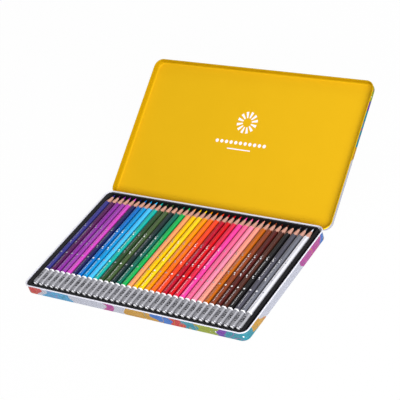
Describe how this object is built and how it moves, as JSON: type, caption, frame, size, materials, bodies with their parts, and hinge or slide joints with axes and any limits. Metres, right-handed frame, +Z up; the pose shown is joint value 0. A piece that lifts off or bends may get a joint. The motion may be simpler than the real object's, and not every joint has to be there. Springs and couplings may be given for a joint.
{
  "type": "colored pencil tin",
  "caption": "Flat hinged tinplate pencil case, lid folded back, with a corrugated plastic tray holding a row of hexagonal coloured pencils.",
  "frame": {"origin": "centre of the flat underside of the base", "axes": "+X to the right along the row of pencils and the hinge, +Y to the back where the hinge is, +Z up"},
  "size_m": [0.3254, 0.3564, 0.1046],
  "materials": {
    "base_print": "printed tinplate, gloss varnish",
    "lid_lacquer": "lacquered tinplate, satin gloss",
    "hinge_wire": "drawn steel wire",
    "tray_plastic": "vacuum-formed polystyrene, semi-gloss",
    "paint_indigo": "painted gloss barrel, bare sharpened wood cone, bonded coloured lead",
    "paint_plum": "painted gloss barrel, bare sharpened wood cone, bonded coloured lead",
    "paint_purple": "painted gloss barrel, bare sharpened wood cone, bonded coloured lead",
    "paint_lilac": "painted gloss barrel, bare sharpened wood cone, bonded coloured lead",
    "paint_magenta": "painted gloss barrel, bare sharpened wood cone, bonded coloured lead",
    "paint_navy": "painted gloss barrel, bare sharpened wood cone, bonded coloured lead",
    "paint_royal_blue": "painted gloss barrel, bare sharpened wood cone, bonded coloured lead",
    "paint_cerulean": "painted gloss barrel, bare sharpened wood cone, bonded coloured lead",
    "paint_sky_blue": "painted gloss barrel, bare sharpened wood cone, bonded coloured lead",
    "paint_teal": "painted gloss barrel, bare sharpened wood cone, bonded coloured lead",
    "paint_dark_olive": "painted gloss barrel, bare sharpened wood cone, bonded coloured lead",
    "paint_olive": "painted gloss barrel, bare sharpened wood cone, bonded coloured lead",
    "paint_green_black": "painted gloss barrel, bare sharpened wood cone, bonded coloured lead",
    "paint_pine_green": "painted gloss barrel, bare sharpened wood cone, bonded coloured lead",
    "paint_green": "painted gloss barrel, bare sharpened wood cone, bonded coloured lead",
    "paint_apricot": "painted gloss barrel, bare sharpened wood cone, bonded coloured lead",
    "paint_golden_yellow": "painted gloss barrel, bare sharpened wood cone, bonded coloured lead",
    "paint_yellow": "painted gloss barrel, bare sharpened wood cone, bonded coloured lead",
    "paint_amber": "painted gloss barrel, bare sharpened wood cone, bonded coloured lead",
    "paint_orange": "painted gloss barrel, bare sharpened wood cone, bonded coloured lead",
    "paint_vermilion": "painted gloss barrel, bare sharpened wood cone, bonded coloured lead",
    "paint_crimson": "painted gloss barrel, bare sharpened wood cone, bonded coloured lead",
    "paint_red": "painted gloss barrel, bare sharpened wood cone, bonded coloured lead",
    "paint_scarlet": "painted gloss barrel, bare sharpened wood cone, bonded coloured lead",
    "paint_hot_pink": "painted gloss barrel, bare sharpened wood cone, bonded coloured lead",
    "paint_pink": "painted gloss barrel, bare sharpened wood cone, bonded coloured lead",
    "paint_light_pink": "painted gloss barrel, bare sharpened wood cone, bonded coloured lead",
    "paint_peach": "painted gloss barrel, bare sharpened wood cone, bonded coloured lead",
    "paint_ochre": "painted gloss barrel, bare sharpened wood cone, bonded coloured lead",
    "paint_chestnut": "painted gloss barrel, bare sharpened wood cone, bonded coloured lead",
    "paint_maroon": "painted gloss barrel, bare sharpened wood cone, bonded coloured lead",
    "paint_dark_brown": "painted gloss barrel, bare sharpened wood cone, bonded coloured lead",
    "paint_black": "painted gloss barrel, bare sharpened wood cone, bonded coloured lead",
    "paint_dark_grey": "painted gloss barrel, bare sharpened wood cone, bonded coloured lead",
    "paint_grey": "painted gloss barrel, bare sharpened wood cone, bonded coloured lead",
    "paint_white": "painted gloss barrel, bare sharpened wood cone, bonded coloured lead"
  },
  "bodies": {
    "base": {"base_shell": "base_print", "hinge_pin_left": "hinge_wire", "hinge_pin_right": "hinge_wire"},
    "lid": {"lid_shell": "lid_lacquer"},
    "tray": {"pencil_tray": "tray_plastic"},
    "pencil_01_indigo": {"pencil_01_indigo": "paint_indigo"},
    "pencil_02_plum": {"pencil_02_plum": "paint_plum"},
    "pencil_03_purple": {"pencil_03_purple": "paint_purple"},
    "pencil_04_lilac": {"pencil_04_lilac": "paint_lilac"},
    "pencil_05_magenta": {"pencil_05_magenta": "paint_magenta"},
    "pencil_06_navy": {"pencil_06_navy": "paint_navy"},
    "pencil_07_royal_blue": {"pencil_07_royal_blue": "paint_royal_blue"},
    "pencil_08_cerulean": {"pencil_08_cerulean": "paint_cerulean"},
    "pencil_09_sky_blue": {"pencil_09_sky_blue": "paint_sky_blue"},
    "pencil_10_teal": {"pencil_10_teal": "paint_teal"},
    "pencil_11_dark_olive": {"pencil_11_dark_olive": "paint_dark_olive"},
    "pencil_12_olive": {"pencil_12_olive": "paint_olive"},
    "pencil_13_green_black": {"pencil_13_green_black": "paint_green_black"},
    "pencil_14_pine_green": {"pencil_14_pine_green": "paint_pine_green"},
    "pencil_15_green": {"pencil_15_green": "paint_green"},
    "pencil_16_apricot": {"pencil_16_apricot": "paint_apricot"},
    "pencil_17_golden_yellow": {"pencil_17_golden_yellow": "paint_golden_yellow"},
    "pencil_18_yellow": {"pencil_18_yellow": "paint_yellow"},
    "pencil_19_amber": {"pencil_19_amber": "paint_amber"},
    "pencil_20_orange": {"pencil_20_orange": "paint_orange"},
    "pencil_21_vermilion": {"pencil_21_vermilion": "paint_vermilion"},
    "pencil_22_crimson": {"pencil_22_crimson": "paint_crimson"},
    "pencil_23_red": {"pencil_23_red": "paint_red"},
    "pencil_24_scarlet": {"pencil_24_scarlet": "paint_scarlet"},
    "pencil_25_hot_pink": {"pencil_25_hot_pink": "paint_hot_pink"},
    "pencil_26_pink": {"pencil_26_pink": "paint_pink"},
    "pencil_27_light_pink": {"pencil_27_light_pink": "paint_light_pink"},
    "pencil_28_peach": {"pencil_28_peach": "paint_peach"},
    "pencil_29_ochre": {"pencil_29_ochre": "paint_ochre"},
    "pencil_30_chestnut": {"pencil_30_chestnut": "paint_chestnut"},
    "pencil_31_maroon": {"pencil_31_maroon": "paint_maroon"},
    "pencil_32_dark_brown": {"pencil_32_dark_brown": "paint_dark_brown"},
    "pencil_33_black": {"pencil_33_black": "paint_black"},
    "pencil_34_dark_grey": {"pencil_34_dark_grey": "paint_dark_grey"},
    "pencil_35_grey": {"pencil_35_grey": "paint_grey"},
    "pencil_36_white": {"pencil_36_white": "paint_white"}
  },
  "joints": [
    {"name": "lid_hinge", "type": "hinge", "parent": "base", "child": "lid", "pos_m": [0, 0.09556, 0.0068], "axis": [-1, 0, 0], "range_deg": [-149, 0]},
    {"name": "tray_lift", "type": "slide", "parent": "base", "child": "tray", "axis": [0, 0, 1], "range_m": [0, 0.03]},
    {"name": "pencil_01_indigo_lift", "type": "slide", "parent": "tray", "child": "pencil_01_indigo", "axis": [0, 0, 1], "range_m": [0, 0.02]},
    {"name": "pencil_02_plum_lift", "type": "slide", "parent": "tray", "child": "pencil_02_plum", "axis": [0, 0, 1], "range_m": [0, 0.02]},
    {"name": "pencil_03_purple_lift", "type": "slide", "parent": "tray", "child": "pencil_03_purple", "axis": [0, 0, 1], "range_m": [0, 0.02]},
    {"name": "pencil_04_lilac_lift", "type": "slide", "parent": "tray", "child": "pencil_04_lilac", "axis": [0, 0, 1], "range_m": [0, 0.02]},
    {"name": "pencil_05_magenta_lift", "type": "slide", "parent": "tray", "child": "pencil_05_magenta", "axis": [0, 0, 1], "range_m": [0, 0.02]},
    {"name": "pencil_06_navy_lift", "type": "slide", "parent": "tray", "child": "pencil_06_navy", "axis": [0, 0, 1], "range_m": [0, 0.02]},
    {"name": "pencil_07_royal_blue_lift", "type": "slide", "parent": "tray", "child": "pencil_07_royal_blue", "axis": [0, 0, 1], "range_m": [0, 0.02]},
    {"name": "pencil_08_cerulean_lift", "type": "slide", "parent": "tray", "child": "pencil_08_cerulean", "axis": [0, 0, 1], "range_m": [0, 0.02]},
    {"name": "pencil_09_sky_blue_lift", "type": "slide", "parent": "tray", "child": "pencil_09_sky_blue", "axis": [0, 0, 1], "range_m": [0, 0.02]},
    {"name": "pencil_10_teal_lift", "type": "slide", "parent": "tray", "child": "pencil_10_teal", "axis": [0, 0, 1], "range_m": [0, 0.02]},
    {"name": "pencil_11_dark_olive_lift", "type": "slide", "parent": "tray", "child": "pencil_11_dark_olive", "axis": [0, 0, 1], "range_m": [0, 0.02]},
    {"name": "pencil_12_olive_lift", "type": "slide", "parent": "tray", "child": "pencil_12_olive", "axis": [0, 0, 1], "range_m": [0, 0.02]},
    {"name": "pencil_13_green_black_lift", "type": "slide", "parent": "tray", "child": "pencil_13_green_black", "axis": [0, 0, 1], "range_m": [0, 0.02]},
    {"name": "pencil_14_pine_green_lift", "type": "slide", "parent": "tray", "child": "pencil_14_pine_green", "axis": [0, 0, 1], "range_m": [0, 0.02]},
    {"name": "pencil_15_green_lift", "type": "slide", "parent": "tray", "child": "pencil_15_green", "axis": [0, 0, 1], "range_m": [0, 0.02]},
    {"name": "pencil_16_apricot_lift", "type": "slide", "parent": "tray", "child": "pencil_16_apricot", "axis": [0, 0, 1], "range_m": [0, 0.02]},
    {"name": "pencil_17_golden_yellow_lift", "type": "slide", "parent": "tray", "child": "pencil_17_golden_yellow", "axis": [0, 0, 1], "range_m": [0, 0.02]},
    {"name": "pencil_18_yellow_lift", "type": "slide", "parent": "tray", "child": "pencil_18_yellow", "axis": [0, 0, 1], "range_m": [0, 0.02]},
    {"name": "pencil_19_amber_lift", "type": "slide", "parent": "tray", "child": "pencil_19_amber", "axis": [0, 0, 1], "range_m": [0, 0.02]},
    {"name": "pencil_20_orange_lift", "type": "slide", "parent": "tray", "child": "pencil_20_orange", "axis": [0, 0, 1], "range_m": [0, 0.02]},
    {"name": "pencil_21_vermilion_lift", "type": "slide", "parent": "tray", "child": "pencil_21_vermilion", "axis": [0, 0, 1], "range_m": [0, 0.02]},
    {"name": "pencil_22_crimson_lift", "type": "slide", "parent": "tray", "child": "pencil_22_crimson", "axis": [0, 0, 1], "range_m": [0, 0.02]},
    {"name": "pencil_23_red_lift", "type": "slide", "parent": "tray", "child": "pencil_23_red", "axis": [0, 0, 1], "range_m": [0, 0.02]},
    {"name": "pencil_24_scarlet_lift", "type": "slide", "parent": "tray", "child": "pencil_24_scarlet", "axis": [0, 0, 1], "range_m": [0, 0.02]},
    {"name": "pencil_25_hot_pink_lift", "type": "slide", "parent": "tray", "child": "pencil_25_hot_pink", "axis": [0, 0, 1], "range_m": [0, 0.02]},
    {"name": "pencil_26_pink_lift", "type": "slide", "parent": "tray", "child": "pencil_26_pink", "axis": [0, 0, 1], "range_m": [0, 0.02]},
    {"name": "pencil_27_light_pink_lift", "type": "slide", "parent": "tray", "child": "pencil_27_light_pink", "axis": [0, 0, 1], "range_m": [0, 0.02]},
    {"name": "pencil_28_peach_lift", "type": "slide", "parent": "tray", "child": "pencil_28_peach", "axis": [0, 0, 1], "range_m": [0, 0.02]},
    {"name": "pencil_29_ochre_lift", "type": "slide", "parent": "tray", "child": "pencil_29_ochre", "axis": [0, 0, 1], "range_m": [0, 0.02]},
    {"name": "pencil_30_chestnut_lift", "type": "slide", "parent": "tray", "child": "pencil_30_chestnut", "axis": [0, 0, 1], "range_m": [0, 0.02]},
    {"name": "pencil_31_maroon_lift", "type": "slide", "parent": "tray", "child": "pencil_31_maroon", "axis": [0, 0, 1], "range_m": [0, 0.02]},
    {"name": "pencil_32_dark_brown_lift", "type": "slide", "parent": "tray", "child": "pencil_32_dark_brown", "axis": [0, 0, 1], "range_m": [0, 0.02]},
    {"name": "pencil_33_black_lift", "type": "slide", "parent": "tray", "child": "pencil_33_black", "axis": [0, 0, 1], "range_m": [0, 0.02]},
    {"name": "pencil_34_dark_grey_lift", "type": "slide", "parent": "tray", "child": "pencil_34_dark_grey", "axis": [0, 0, 1], "range_m": [0, 0.02]},
    {"name": "pencil_35_grey_lift", "type": "slide", "parent": "tray", "child": "pencil_35_grey", "axis": [0, 0, 1], "range_m": [0, 0.02]},
    {"name": "pencil_36_white_lift", "type": "slide", "parent": "tray", "child": "pencil_36_white", "axis": [0, 0, 1], "range_m": [0, 0.02]}
  ]
}
